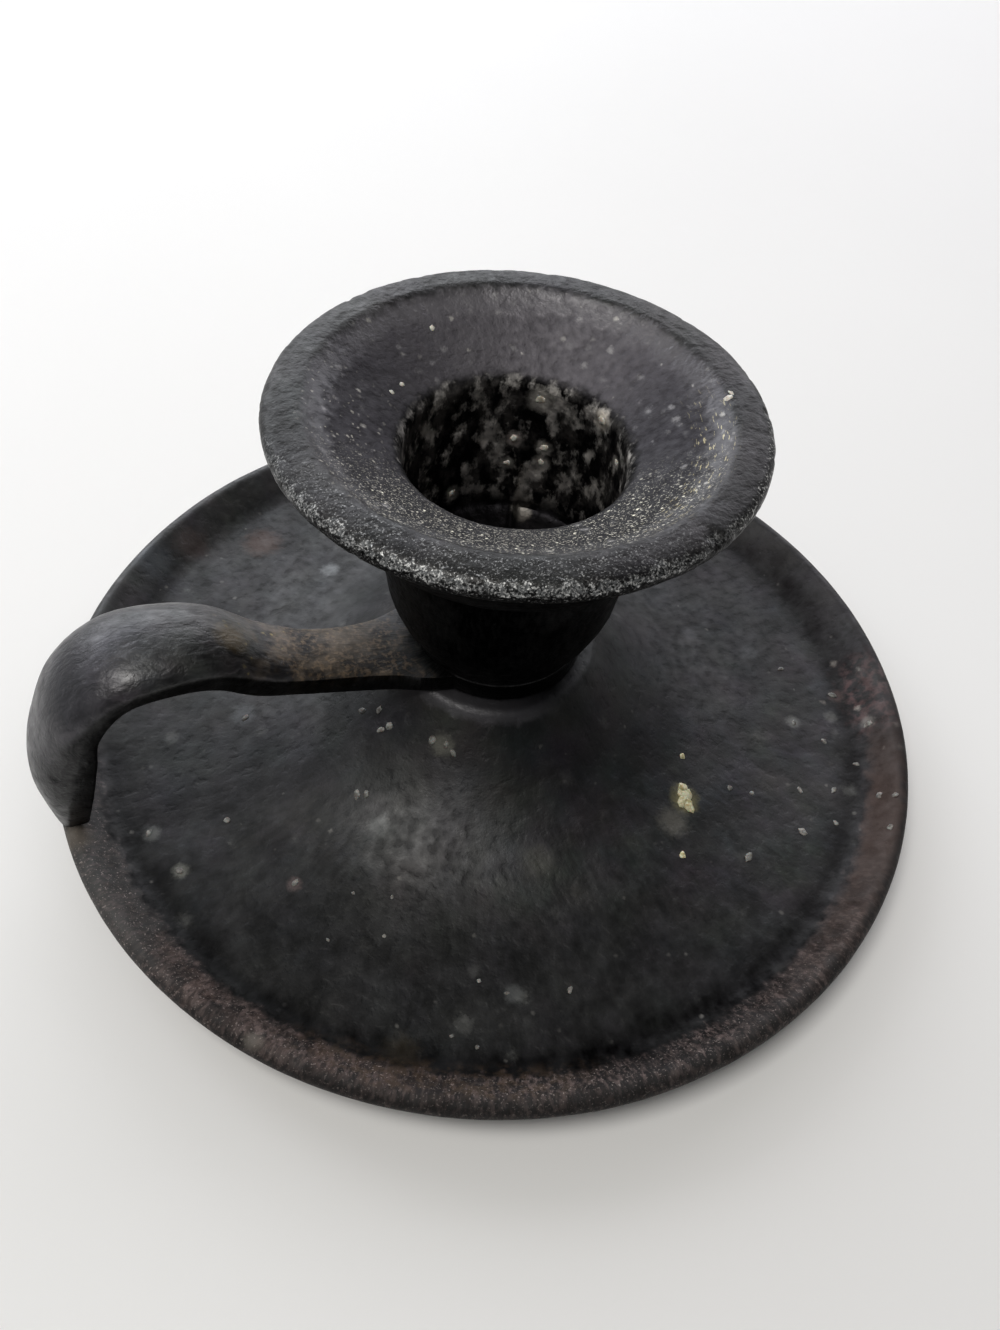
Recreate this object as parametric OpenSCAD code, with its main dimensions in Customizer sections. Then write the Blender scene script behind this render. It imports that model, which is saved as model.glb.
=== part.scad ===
// Cast-iron chamberstick: a candle socket, a strap handle and a drip pan, held by one screw from below.
// Millimetres. Z is up, the table is at z = 0, the socket stands on the Z axis and the handle runs to -X.

/* [Drip pan] */
// Outside diameter of the pan
pan_d = 104; // [96:1:112]
// Height of the rim above the table
rim_h = 7; // [6:0.1:9]
// Slope of the upturned rim in degrees
rim_slope = 40; // [30:1:46]
// Thickness of the rim's rounded edge
rim_edge_t = 2.4; // [2:0.1:3]
// Depth of the pan from the rim's top down to its gutter
pan_depth = 3.2; // [2.6:0.1:3.6]
// Thickness of the casting
pan_wall = 2.8; // [2.2:0.1:3]
// Diameter of the hub that the handle's eye sits on
hub_d = 24.6; // [23:0.2:28]
// Height of the hub's top above the rim
hub_rise = 8.8; // [7:0.1:11]
// Steepness of the trumpet curve from the hub to the floor
trumpet_power = 3.4; // [2.6:0.1:4]
// Middle diameter of the ring that the pan rests on
foot_ring_d = 84; // [78:1:86]
// Width of the ring that the pan rests on
foot_ring_w = 4.6; // [3:0.2:5]

/* [Handle] */
// Diameter of the round eye between the hub and the socket
eye_d = 19.8; // [18:0.2:21]
// Thickness of the eye and of the strap beside it
eye_t = 2.8; // [2.4:0.1:3.4]
// Narrowest width of the strap, near the socket
waist_w = 7.6; // [6.2:0.2:8.6]
// Greatest width of the strap, on top of the bend
bend_w = 12.4; // [10.4:0.2:13.2]
// Width of the strap's end on the rim
tip_w = 8; // [6.4:0.2:9]
// Height of the bend's underside above the rim
bend_rise = 19; // [17:0.2:20.4]

/* [Candle socket] */
// Inside diameter of the candle bore
bore_d = 22.6; // [21.8:0.1:23.2]
// Depth of the straight bore
bore_depth = 16.4; // [14:0.2:16.8]
// Radius of the rounding at the bore's mouth
mouth_round = 1.8; // [1:0.1:2.4]
// Diameter of the flared lip
lip_d = 48.7; // [46:0.1:52]
// Width of the band round the lip
lip_band = 4.7; // [3.6:0.1:5.4]
// Thickness of the lip's rounded edge
lip_t = 2.4; // [2:0.1:3]
// Depth of the wax dish from the lip down to the straight bore
dish_depth = 6.6; // [6:0.1:7]
// Height of the socket from its foot to the top of its lip
socket_h = 30.5; // [30:0.1:32]
// Diameter of the socket's foot
foot_d = 20.3; // [19.6:0.1:21]

/* [Fixing screw] */
// Diameter of the screw's shank
screw_d = 4.2; // [3.8:0.1:4.6]
// Diameter of the screw's round head
head_d = 7.6; // [7:0.1:8.4]
// Height of the screw's round head
head_h = 2.7; // [2.4:0.1:3]
// How far the screw reaches into the socket's foot
screw_bite = 5.4; // [4:0.1:5.6]
// Outside diameter of the washer
washer_d = 10; // [9:0.2:11]
// Thickness of the washer
washer_t = 1; // [0.8:0.1:1.4]

/* [Hidden] */
$fn = 96;

// Heights of the seats, from the table up
hub_z = rim_h + hub_rise;
foot_z = hub_z + eye_t;
lip_z = foot_z + socket_h;

// Radii that several parts share
pan_r = pan_d / 2;
hub_r = hub_d / 2;
lip_r = lip_d / 2;
bore_r = bore_d / 2;
shank_r = screw_d / 2;
clear_r = shank_r + 0.2;
tapped_r = shank_r + 0.03;

// Points along an arc from angle a0 to a1, in n steps
function arc(cx, cz, r, a0, a1, n) =
    [for (i = [0:n]) let (a = a0 + (a1 - a0) * i / n) [cx + r * cos(a), cz + r * sin(a)]];

// Points down a trumpet curve that leaves p steeply and runs out level at q
function trumpet(p, q, power, n) =
    [for (i = [0:n]) let (u = pow(i / n, 1.3))
        [p[0] + (q[0] - p[0]) * u, q[1] + (p[1] - q[1]) * pow(1 - u, power)]];

// One coordinate of a Catmull-Rom curve through the control points p, at t from 0 to len(p) - 1
function spline(p, t) =
    let (last = len(p) - 1,
         i = min(floor(t), last - 1),
         f = t - i,
         a = p[max(i - 1, 0)],
         b = p[i],
         c = p[i + 1],
         d = p[min(i + 2, last)])
    0.5 * (2 * b + (c - a) * f + (2 * a - 5 * b + 4 * c - d) * f * f
        + (3 * b - a - 3 * c + d) * f * f * f);

// Drip pan: the upper line runs from the hub to the rim, the lower line back to the hub
gutter_z = rim_h - pan_depth;
edge_r = rim_edge_t / 2;
edge_x = pan_r - edge_r;
edge_z = rim_h - edge_r;
slope_x = edge_x - edge_r * sin(rim_slope);
slope_z = edge_z + edge_r * cos(rim_slope);
corner_r = 3;
corner_x = slope_x - (slope_z - gutter_z) / tan(rim_slope) - corner_r * tan(rim_slope / 2);
hub_edge_r = 1.5;
floor_bottom_z = max(gutter_z - pan_wall, 0.5);
ring_r = foot_ring_d / 2;
ring_half = foot_ring_w / 2;
ceiling_z = hub_z - pan_wall;
ceiling_r = hub_r - pan_wall + 0.5;

module pan_section() {
    shoulder = arc(hub_r - hub_edge_r, hub_z - hub_edge_r, hub_edge_r, 90, 36, 6);
    flare = trumpet(shoulder[6], [corner_x, gutter_z], trumpet_power, 28);
    corner = arc(corner_x, gutter_z + corner_r, corner_r, 276, 270 + rim_slope, 5);
    edge = arc(edge_x, edge_z, edge_r, 90 + rim_slope, -64, 12);
    ring = [
        [ring_r + ring_half + 1.6, floor_bottom_z + 0.3],
        [ring_r + ring_half + 0.5, floor_bottom_z - 0.1],
        [ring_r + ring_half, 0],
        [ring_r - ring_half, 0],
        [ring_r - ring_half - 0.9, floor_bottom_z]
    ];
    under = trumpet([ceiling_r, ceiling_z - 0.6], [ring_r - ring_half - 1.6, floor_bottom_z],
                    trumpet_power, 22);
    inward = [for (i = [len(under) - 1:-1:0]) under[i]];
    ceiling = [[ceiling_r - 0.7, ceiling_z], [clear_r, ceiling_z]];
    polygon(concat([[clear_r, hub_z]], shoulder, flare, corner, edge, ring, inward, ceiling));
}

module drip_pan() {
    color("#2b2c2d")
    rotate_extrude($fn = 144)
    pan_section();
}

// Handle: the strap's underside runs from the eye over the finger gap to the rim.
// Each station holds the distance from the socket's axis and the height above the rim.
strap_run = [6, 10.5, 14.4, 19, 24, 29, 33.2, 37.5, 41.6, 44.8, 46, 47.5, 49.1];
strap_rise = [
    hub_rise + 0.1, hub_rise + 0.1, hub_rise + 0.4, hub_rise + 1.3,
    hub_rise + 3, hub_rise + 5.6, bend_rise - 1.3, bend_rise, bend_rise - 0.2,
    bend_rise - 3.2, bend_rise - 7.7, bend_rise - 13.2, -0.6
];
// Width of the strap at each station
strap_w = [
    eye_d * 0.66, eye_d * 0.56, waist_w + 1, waist_w, waist_w + 0.2, bend_w - 3.3,
    bend_w - 2.1, bend_w - 1, bend_w - 0.3, bend_w, bend_w - 0.2, bend_w - 1.2, tip_w
];
// Height of the strap's straight side at each station
strap_side = [
    eye_t - 0.35, eye_t - 0.35, eye_t - 0.2, eye_t - 0.3, 2.2, 2, 1.7, 1.3, 1.1, 1.3, 1.9, 2.1, 1.8
];
// Height of the rounded crown above the side at each station
strap_crown = [0.15, 0.15, 0.4, 0.9, 1.2, 1.8, 2.3, 2.5, 2.7, 3.3, 3.8, 3.5, 1.7];
// Depth of the hollow along the underside at each station
strap_hollow = [0.06, 0.06, 0.06, 0.08, 0.15, 0.3, 0.5, 0.7, 0.8, 0.8, 0.6, 0.3, 0.08];

strap_steps = 60;
crown_steps = 14;
hollow_steps = 4;
corner_cut = 0.35;

// Cross-section of the strap: a shallow hollow below, short sides with eased corners and a rounded crown
function strap_outline(w, side, crown, hollow) =
    let (half = w / 2, flat = w / 2 - corner_cut)
    concat(
        [for (i = [0:hollow_steps])
            let (u = -1 + 2 * i / hollow_steps)
            [flat * u, hollow * (1 - u * u)]],
        [[half, corner_cut]],
        [for (i = [0:crown_steps])
            let (a = 180 * i / crown_steps, s = cos(a))
            [half * sign(s) * pow(abs(s), 0.9), side + crown * sin(a)]],
        [[-half, corner_cut]]
    );

// Outline of the strap at step i, set square to its path
function strap_ring(i) =
    let (last = len(strap_run) - 1,
         t = last * i / strap_steps,
         t0 = max(t - 0.02, 0),
         t1 = min(t + 0.02, last),
         dx = spline(strap_run, t1) - spline(strap_run, t0),
         dz = spline(strap_rise, t1) - spline(strap_rise, t0),
         step = sqrt(dx * dx + dz * dz),
         x = spline(strap_run, t),
         z = rim_h + spline(strap_rise, t),
         outline = strap_outline(spline(strap_w, t), spline(strap_side, t),
                                 spline(strap_crown, t), spline(strap_hollow, t)))
    [for (q = outline) [-(x - q[1] * dz / step), q[0], z + q[1] * dx / step]];

module strap() {
    rings = [for (i = [0:strap_steps]) strap_ring(i)];
    m = len(rings[0]);
    points = [for (r = rings) each r];
    sides = [for (i = [0:strap_steps - 1], j = [0:m - 1])
        let (a = i * m + j, b = i * m + (j + 1) % m)
        each [[a, b, b + m], [a, b + m, a + m]]];
    first_cap = [for (j = [m - 1:-1:0]) j];
    last_cap = [for (j = [0:m - 1]) strap_steps * m + j];
    polyhedron(points = points, faces = concat(sides, [first_cap], [last_cap]), convexity = 4);
}

module handle() {
    color("#3c3c3e")
    difference() {
        union() {
            translate([0, 0, hub_z])
            cylinder(h = eye_t, d = eye_d);
            strap();
        }
        translate([0, 0, hub_z - 1])
        cylinder(h = eye_t + 2, r = clear_r, $fn = 48);
        translate([-pan_d, -eye_d, rim_h - 5])
        cube([pan_d - 20, eye_d * 2, 5.05]);
    }
}

// Candle socket: the outer line runs up from the foot to the lip, the inner line down into the bore
bore_top_z = lip_z - dish_depth;
bore_floor_z = bore_top_z - bore_depth;
cup_z = foot_z + 12;
neck_z = foot_z + 17.6;
cup_r = bore_r + 2.2;
neck_r = bore_r + 2.9;
crease_r = lip_r - lip_band;
crease_z = lip_z - 0.75;
roll_r = lip_t / 2;
// Angle of the dish's cone, tangent to the rounding of the bore's mouth
cone_x = crease_r - bore_r - mouth_round;
cone_z = crease_z - bore_top_z;
cone_len = sqrt(cone_x * cone_x + cone_z * cone_z);
cone_a = atan2(cone_z, cone_x) - asin(mouth_round / cone_len);

module socket_section() {
    foot_r = foot_d / 2;
    cup = [
        [foot_r - 0.5, foot_z], [foot_r, foot_z + 0.5],
        [foot_r + 0.4, foot_z + 1.4], [foot_r + 0.9, foot_z + 2.5],
        [foot_r + 1.6, foot_z + 4], [foot_r + 2.2, foot_z + 5.5],
        [foot_r + 2.6, foot_z + 7], [cup_r - 0.5, foot_z + 9],
        [cup_r, cup_z], [neck_r - 0.2, neck_z - 1.4], [neck_r, neck_z]
    ];
    flare = [for (i = [1:8])
        let (u = i / 8)
        [neck_r + (lip_r - 1.6 - neck_r) * pow(u, 0.86),
         neck_z + (lip_z - lip_t - 0.1 - neck_z) * pow(u, 1.22)]];
    roll = arc(lip_r - roll_r, lip_z - roll_r - 0.1, roll_r, -62, 82, 10);
    band = [[lip_r - lip_band * 0.5, lip_z], [crease_r + 0.5, crease_z + 0.4], [crease_r, crease_z]];
    mouth = arc(bore_r + mouth_round, bore_top_z, mouth_round, 90 + cone_a, 180, 9);
    bore = [[bore_r, bore_floor_z + 0.6], [bore_r - 0.6, bore_floor_z]];
    polygon(concat(cup, flare, roll, band, mouth, bore, [[0, bore_floor_z], [0, foot_z]]));
}

module candle_socket() {
    color("#38383b")
    difference() {
        rotate_extrude($fn = 120)
        socket_section();
        translate([0, 0, foot_z - 1])
        cylinder(h = screw_bite + 1.6, r = tapped_r, $fn = 48);
    }
}

// Washer against the hub's ceiling
module base_washer() {
    color("#6a5f55")
    difference() {
        translate([0, 0, ceiling_z - washer_t])
        cylinder(h = washer_t, d = washer_d, $fn = 64);
        translate([0, 0, ceiling_z - washer_t - 1])
        cylinder(h = washer_t + 2, r = clear_r, $fn = 48);
    }
}

// Round-head slotted screw, driven up from the hollow underside
head_z = ceiling_z - washer_t;
slot_w = 1.1;
slot_depth = 1.3;

module base_screw() {
    color("#57504a")
    difference() {
        rotate_extrude($fn = 64)
        polygon(concat(
            [[0, head_z - head_h]],
            [for (i = [1:8]) let (a = 90 * i / 8) [head_d / 2 * sin(a), head_z - head_h * cos(a)]],
            [[shank_r, head_z], [shank_r, foot_z + screw_bite - 0.6], [shank_r - 0.6, foot_z + screw_bite],
             [0, foot_z + screw_bite]]
        ));
        translate([-head_d, -slot_w / 2, head_z - head_h - 1])
        cube([head_d * 2, slot_w, slot_depth + 1]);
    }
}

drip_pan();
handle();
candle_socket();
base_screw();
base_washer();
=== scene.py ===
"""Looks of a small cast-iron chamberstick: three sand castings, one fixing from below, and old wax and dust.

Lengths are in millimetres inside the classes and turn to metres where a mesh is made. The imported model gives
the frame: Z is up, the table is at zero, the candle bore is on the Z axis and the handle points to -X.
"""

import logging
import math
import random
from collections.abc import Callable, Mapping, Sequence
from dataclasses import dataclass, field
from enum import Enum

import bmesh
import bpy
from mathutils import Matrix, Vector, noise
from mathutils.bvhtree import BVHTree


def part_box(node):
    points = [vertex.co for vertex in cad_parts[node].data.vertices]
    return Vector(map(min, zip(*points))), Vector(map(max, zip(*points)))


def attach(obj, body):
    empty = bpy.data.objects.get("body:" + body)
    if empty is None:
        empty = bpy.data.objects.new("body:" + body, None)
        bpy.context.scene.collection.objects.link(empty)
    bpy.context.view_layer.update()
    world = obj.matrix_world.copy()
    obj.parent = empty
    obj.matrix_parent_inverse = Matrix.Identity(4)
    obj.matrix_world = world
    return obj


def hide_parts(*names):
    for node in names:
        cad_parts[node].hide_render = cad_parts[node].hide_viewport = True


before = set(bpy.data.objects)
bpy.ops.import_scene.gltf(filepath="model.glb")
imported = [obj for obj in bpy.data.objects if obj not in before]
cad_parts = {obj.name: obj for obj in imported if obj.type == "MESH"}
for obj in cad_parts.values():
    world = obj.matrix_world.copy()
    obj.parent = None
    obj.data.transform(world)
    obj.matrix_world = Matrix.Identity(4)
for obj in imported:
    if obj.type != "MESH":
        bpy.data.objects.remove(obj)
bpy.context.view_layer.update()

MM = 0.001
Profile = list[tuple[float, float]]
Point = tuple[float, float, float]
Relief = Callable[[Vector], float]
Socket = bpy.types.NodeSocket

log = logging.getLogger("chamberstick")


class Slot(Enum):
    """Material slots of the record."""

    PAN = "pan_iron"
    HANDLE = "handle_iron"
    SOCKET = "socket_iron"
    SCREW = "screw_steel"
    WASHER = "washer_steel"


class Pattern(Enum):
    """How a zone of a casting is broken up."""

    PLAIN = "plain"
    STREAKS = "streaks"
    BLOTCHES = "blotches"
    SPECKS = "specks"


class Faces(Enum):
    """Which faces of a casting a zone covers."""

    ALL = "all"
    SIDES = "sides"
    TOPS = "tops"


class Shade(Enum):
    """How the faces of a mesh meet in the light."""

    CAST = 40.0
    TURNED = 28.0
    LUMP = 80.0


def linear(code: str) -> tuple[float, float, float, float]:
    """Turns an sRGB hex colour into Blender's linear colour.

    Args:
        code: Six hex digits after a hash sign.

    Returns:
        Red, green, blue and an alpha of one.
    """
    parts = [int(code[i:i + 2], 16) / 255 for i in (1, 3, 5)]
    red, green, blue = (c / 12.92 if c <= 0.04045 else ((c + 0.055) / 1.055) ** 2.4 for c in parts)
    return red, green, blue, 1.0


def arc(cx: float, cz: float, radius: float, start: float, end: float, steps: int) -> Profile:
    """Points along an arc of a section.

    Args:
        cx: Distance of the arc's centre from the Z axis.
        cz: Height of the arc's centre.
        radius: Radius of the arc.
        start: First angle in degrees.
        end: Last angle in degrees.
        steps: Number of equal steps.

    Returns:
        The points, both ends included.
    """
    angles = [math.radians(start + (end - start) * i / steps) for i in range(steps + 1)]
    return [(cx + radius * math.cos(a), cz + radius * math.sin(a)) for a in angles]


def trumpet(p: tuple[float, float], q: tuple[float, float], power: float, steps: int) -> Profile:
    """Points down a curve that leaves p steeply and runs out level at q.

    Args:
        p: Upper end.
        q: Lower end.
        power: How early the curve flattens.
        steps: Number of steps, closer together near p.

    Returns:
        The points, both ends included.
    """
    shares = [(i / steps) ** 1.3 for i in range(steps + 1)]
    return [(p[0] + (q[0] - p[0]) * u, q[1] + (p[1] - q[1]) * (1 - u) ** power) for u in shares]


def spline(values: Sequence[float], t: float) -> float:
    """One coordinate of a Catmull-Rom curve through control values.

    Args:
        values: The control values.
        t: Place on the curve, from 0 to the last index.

    Returns:
        The value of the curve at t.
    """
    last = len(values) - 1
    i = min(int(t), last - 1)
    f = t - i
    a, b, c, d = values[max(i - 1, 0)], values[i], values[i + 1], values[min(i + 2, last)]
    slope, bend, twist = c - a, 2 * a - 5 * b + 4 * c - d, 3 * b - a - 3 * c + d
    return 0.5 * (2 * b + slope * f + bend * f * f + twist * f ** 3)


def smooth_step(value: float, low: float, high: float) -> float:
    """Rises smoothly from 0 at low to 1 at high."""
    t = min(max((value - low) / (high - low), 0.0), 1.0)
    return t * t * (3 - 2 * t)


def unevenness(p: Vector, size: float, seed: float) -> float:
    """Smooth noise between about -1 and 1.

    Args:
        p: Place in millimetres.
        size: Width of one swell in millimetres.
        seed: Shift that makes one noise differ from another.

    Returns:
        The noise at that place.
    """
    return noise.noise(p / size + Vector((seed, 2 * seed, -seed)))


@dataclass
class Piece:
    """A mesh in the making, in millimetres, that becomes one piece of the scene."""

    name: str
    mesh: bmesh.types.BMesh = field(default_factory=bmesh.new)

    def lathe(self, profile: Profile, segments: int) -> None:
        """Turns a section round the Z axis.

        A section whose ends lie on the axis is closed by its poles, and any other closes on itself.

        Args:
            profile: Distance from the axis and height of each point, the solid on its left going round.
            segments: Number of segments round the axis.
        """
        rings: list[list[bmesh.types.BMVert]] = []
        for radius, height in profile:
            if radius == 0:
                rings.append([self.mesh.verts.new((0, 0, height))] * segments)
                continue
            turns = [2 * math.pi * j / segments for j in range(segments)]
            rings.append([self.mesh.verts.new((radius * math.cos(a), radius * math.sin(a), height)) for a in turns])
        self.skin(rings, closed=profile[0][0] != 0)

    def skin(self, rings: list[list[bmesh.types.BMVert]], closed: bool) -> None:
        """Lays faces between neighbouring rings of vertices.

        Args:
            rings: Rings with the same number of vertices, where a pole repeats one vertex.
            closed: Whether the last ring joins the first.
        """
        count = len(rings[0])
        for i in range(len(rings) if closed else len(rings) - 1):
            near, far = rings[i], rings[(i + 1) % len(rings)]
            for j in range(count):
                k = (j + 1) % count
                corners = list(dict.fromkeys((near[j], near[k], far[k], far[j])))
                self.mesh.faces.new(corners)

    def sweep(self, rings: list[list[Point]]) -> None:
        """Joins outlines along a path into a closed bar with flat ends.

        Args:
            rings: The outlines, each with the same number of points.
        """
        verts = [[self.mesh.verts.new(p) for p in ring] for ring in rings]
        self.skin(verts, closed=False)
        self.mesh.faces.new(verts[0])
        self.mesh.faces.new(reversed(verts[-1]))

    def cut(self, height: float) -> None:
        """Takes away what is below a height and closes the cut.

        Args:
            height: Height of the cut in millimetres.
        """
        parts = self.mesh.verts[:] + self.mesh.edges[:] + self.mesh.faces[:]
        done = bmesh.ops.bisect_plane(self.mesh, geom=parts, plane_co=(0, 0, height), plane_no=(0, 0, -1),
                                      clear_outer=True)
        edges = [e for e in done["geom_cut"] if isinstance(e, bmesh.types.BMEdge)]
        bmesh.ops.contextual_create(self.mesh, geom=edges)

    def roughen(self, relief: Relief) -> None:
        """Moves each vertex along its normal.

        Args:
            relief: Gives the height in millimetres at a place.
        """
        self.mesh.normal_update()
        moves = [(v, v.normal * relief(v.co)) for v in self.mesh.verts]
        for vert, move in moves:
            vert.co += move

    def make(self) -> bpy.types.Object:
        """Turns the mesh to metres and puts it in the scene.

        Returns:
            The new object.
        """
        bmesh.ops.recalc_face_normals(self.mesh, faces=self.mesh.faces[:])
        for vert in self.mesh.verts:
            vert.co *= MM
        data = bpy.data.meshes.new(self.name)
        self.mesh.to_mesh(data)
        self.mesh.free()
        made = bpy.data.objects.new(self.name, data)
        bpy.context.scene.collection.objects.link(made)
        return made


def combine(piece: bpy.types.Object, tool: bpy.types.Object, operation: str) -> None:
    """Adds one solid to another, or takes it away, and removes the tool.

    Args:
        piece: The object that is changed.
        tool: The other object.
        operation: UNION or DIFFERENCE.
    """
    modifier = piece.modifiers.new("combine", "BOOLEAN")
    modifier.object = tool
    modifier.operation = operation
    modifier.solver = "EXACT"
    result = bpy.data.meshes.new_from_object(piece.evaluated_get(bpy.context.evaluated_depsgraph_get()))
    piece.modifiers.clear()
    piece.data = result
    bpy.data.objects.remove(tool)


def show(piece: bpy.types.Object, finish: bpy.types.Material, shade: Shade,
         replaced: Sequence[str] = ()) -> None:
    """Dresses a piece, hangs it on the body and reports it.

    Args:
        piece: The object.
        finish: Its material.
        shade: Angle below which neighbouring faces shade as one.
        replaced: CAD nodes that it stands for.
    """
    piece.data.materials.clear()
    piece.data.materials.append(finish)
    piece.data.shade_smooth()
    piece.data.set_sharp_from_angle(angle=math.radians(shade.value))
    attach(piece, "root")
    if replaced:
        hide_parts(*replaced)
    log.info("%s: %d faces, %s", piece.name, len(piece.data.polygons), finish.name)


class Graph:
    """The nodes of one material or of the room's light."""

    def __init__(self, owner: bpy.types.Material | bpy.types.World) -> None:
        """Empties the owner's node tree.

        Args:
            owner: The material or world.
        """
        owner.use_nodes = True
        owner.node_tree.nodes.clear()
        self.owner = owner

    def add(self, kind: str, links: Mapping[int | str, object] | None = None, out: int | str = 0,
            **settings: object) -> Socket:
        """Adds a node with its settings and links.

        Args:
            kind: Type of the node, without its ShaderNode prefix.
            links: For each input, the socket that feeds it or its value.
            out: The output to return.
            **settings: Properties of the node.

        Returns:
            The chosen output, or the node's first input where it has no output.
        """
        tree = self.owner.node_tree
        node = tree.nodes.new("ShaderNode" + kind)
        for name, value in settings.items():
            setattr(node, name, value)
        for key, value in (links or {}).items():
            if isinstance(value, Socket):
                tree.links.new(value, node.inputs[key])
            else:
                node.inputs[key].default_value = value
        return node.outputs[out] if node.outputs else node.inputs[0]


@dataclass(frozen=True)
class Zone:
    """A ring or part of a ring round the Z axis whose surface differs from the rest."""

    # Zones carry stains and wear, and also painted shade and painted highlights.
    colour: str
    strength: float
    inner: float
    outer: float
    soft: float = 1.0
    low: float = -1.0
    high: float = 60.0
    rise: float = 0.6
    azimuth: float = 0.0
    half_turn: float = 200.0
    blend: float = 12.0
    ragged: float = 0.6
    metallic: float = 0.0
    dull: float = 0.0
    pattern: Pattern = Pattern.PLAIN
    pattern_mm: float = 0.5
    stretch: float = 3.0
    cover: float = 0.5
    crisp: float = 0.04
    torn: float = 1.2
    detail: float = 4.0
    faces: Faces = Faces.ALL


@dataclass(frozen=True)
class Blot:
    """A stain at one place."""

    at: Point
    radius: float
    colour: str
    strength: float = 0.8


@dataclass(frozen=True)
class SandCastIron:
    """Grey iron poured in a sand mould, then blacked and handled for a lifetime.

    The mould's sand leaves a fine pebbled skin with small pits. Black oxide and old oil make it dark and only
    half glossy, so the tips of the grains catch small cold lights. Besides stains and wear, some zones are
    painted shade, painted shadows and painted highlights laid into the colour.
    """

    name: str
    skin: str = "#090909"
    worn: str = "#181719"
    streak: str = "#2a2a2c"
    metallic: float = 0.4
    roughness: float = 0.45
    gloss: float = 0.75
    grain_mm: float = 0.30
    sand_mm: float = 1.3
    mottle_mm: float = 8.0
    streak_mm: tuple[float, float] = (1.1, 1.8)
    grain_height: float = 0.014
    streak_height: float = 0.035
    sand_height: float = 0.13
    pit_height: float = 0.025
    fleck: float = 0.9
    bare: float = 0.17
    warp: float = 4.0
    warp_mm: float = 2.5
    film: float = 1.2
    film_mm: float = 9.0
    calm: tuple[float, float] = (0.0, 1.0)
    polish: float = 0.0
    zones: tuple[Zone, ...] = ()
    blots: tuple[Blot, ...] = ()

    def make(self) -> bpy.types.Material:
        """Builds the material.

        Returns:
            The material.
        """
        g = Graph(bpy.data.materials.new(self.name))
        mm = g.add("VectorMath", {0: g.add("TexCoord", out="Object"), 1: (1 / MM,) * 3}, operation="MULTIPLY")
        across, along = self.streak_mm
        polar = self.polar_place(g, mm)
        grain = g.add("TexNoise", {"Vector": mm, "Scale": 1 / self.grain_mm, "Detail": 2.0, "Roughness": 0.6})
        sand = g.add("TexNoise", {"Vector": mm, "Scale": 1 / self.sand_mm, "Detail": 3.0, "Roughness": 0.45})
        mottle = g.add("TexNoise", {"Vector": mm, "Scale": 1 / self.mottle_mm, "Detail": 5.0, "Roughness": 0.6})
        warp = g.add("TexNoise", {"Vector": mm, "Scale": 1 / self.warp_mm, "Detail": 2.0}, out="Color")
        place = g.add("VectorMath", {0: warp, 1: (self.warp,) * 3, 2: polar}, operation="MULTIPLY_ADD")
        drawn = g.add("VectorMath", {0: place, 1: (1 / across, 1 / along, 0.5)}, operation="MULTIPLY")
        lines = g.add("TexNoise", {"Vector": drawn, "Scale": 1.0, "Detail": 3.0, "Roughness": 0.6})
        lines = g.add("Math", {0: lines, 1: -0.5}, operation="ADD")
        weight = g.add("MapRange", {0: g.add("SeparateXYZ", {0: polar}, out="Y"), 1: self.calm[0], 2: self.calm[1],
                                    3: 0.2, 4: 1.0}, interpolation_type="SMOOTHSTEP")
        lines = g.add("Math", {0: lines, 1: weight, 2: 0.5}, operation="MULTIPLY_ADD")

        share = g.add("MapRange", {0: mottle, 1: 0.36, 2: 0.66}, interpolation_type="SMOOTHSTEP")
        colour = g.add("Mix", {0: share, 6: linear(self.skin), 7: linear(self.worn)}, out=2, data_type="RGBA")
        flecks = g.add("MapRange", {0: lines, 1: 0.40, 2: 0.70, 3: 0.0, 4: self.fleck},
                       interpolation_type="SMOOTHSTEP")
        colour = g.add("Mix", {0: flecks, 6: colour, 7: linear(self.streak)}, out=2, data_type="RGBA")
        film = g.add("TexNoise", {"Vector": mm, "Scale": 1 / self.film_mm, "Detail": 3.0}, out="Color")
        film = g.add("VectorMath", {0: film, 1: (self.film,) * 3, 2: (1 - self.film / 2,) * 3},
                     operation="MULTIPLY_ADD")
        colour = g.add("VectorMath", {0: colour, 1: film}, operation="MULTIPLY")
        bare = g.add("MapRange", {0: lines, 1: 0.35, 2: 0.65, 3: self.metallic + self.bare,
                                   4: self.metallic - self.bare})
        metal = g.add("Math", {0: share, 1: -0.2, 2: bare}, operation="MULTIPLY_ADD")
        rough = g.add("MapRange", {0: sand, 1: 0.3, 2: 0.7, 3: self.roughness + 0.1, 4: self.roughness - 0.08})
        tear = g.add("TexNoise", {"Vector": mm, "Scale": 1.3, "Detail": 5.0, "Roughness": 0.7}, out="Color")
        for zone in self.zones:
            mask = self.zone_mask(g, mm, polar, sand, tear, zone)
            colour = g.add("Mix", {0: mask, 6: colour, 7: linear(zone.colour)}, out=2, data_type="RGBA")
            metal = g.add("Math", {0: mask, 1: zone.metallic, 2: metal}, operation="MULTIPLY_ADD")
            rough = g.add("Math", {0: mask, 1: zone.dull, 2: rough}, operation="MULTIPLY_ADD")
        for blot in self.blots:
            fray = 1.3 * blot.radius
            frayed = g.add("VectorMath", {0: tear, 1: (fray,) * 3, 2: mm}, operation="MULTIPLY_ADD")
            centre = tuple(c + fray / 2 for c in blot.at)
            far = g.add("VectorMath", {0: frayed, 1: centre}, out="Value", operation="DISTANCE")
            mask = g.add("MapRange", {0: far, 1: blot.radius * 1.4, 2: blot.radius * 0.4, 3: 0.0,
                                      4: blot.strength}, interpolation_type="SMOOTHSTEP")
            colour = g.add("Mix", {0: mask, 6: colour, 7: linear(blot.colour)}, out=2, data_type="RGBA")

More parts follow.
